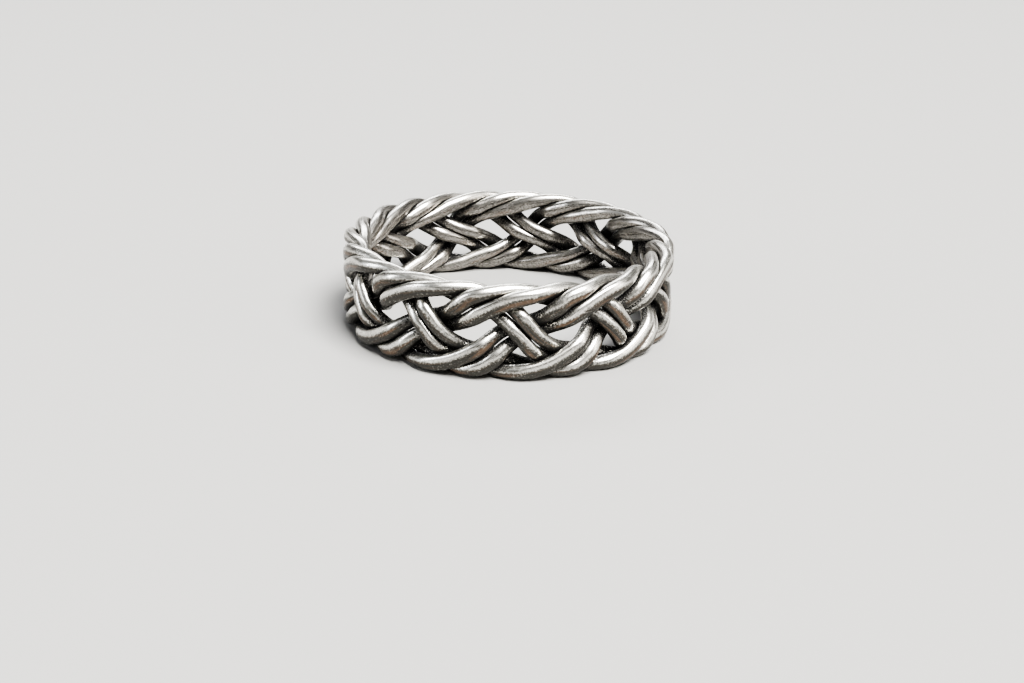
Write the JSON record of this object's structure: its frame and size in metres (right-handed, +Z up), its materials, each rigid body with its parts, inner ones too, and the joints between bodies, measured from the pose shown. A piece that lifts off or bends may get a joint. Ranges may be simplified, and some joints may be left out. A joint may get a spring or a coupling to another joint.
{
  "type": "braided band ring",
  "caption": "Finger ring: an openwork band plaited from doubled round silver wires, darkened in the grooves, lying flat on its edge.",
  "frame": {"origin": "centre of the finger hole, on the plane that the band's lower edge rests on", "axes": "+Z up along the axis of the finger hole; -Y towards the side that the picture shows in front; +X to its right"},
  "size_m": [0.0219, 0.022, 0.0059],
  "materials": {
    "first_wire_silver": "polished sterling silver with black oxide in the grooves and fine wear along the wire",
    "second_wire_silver": "polished sterling silver with black oxide in the grooves and fine wear along the wire"
  },
  "bodies": {
    "root": {"first_wire": "first_wire_silver", "second_wire": "second_wire_silver"}
  },
  "joints": []
}
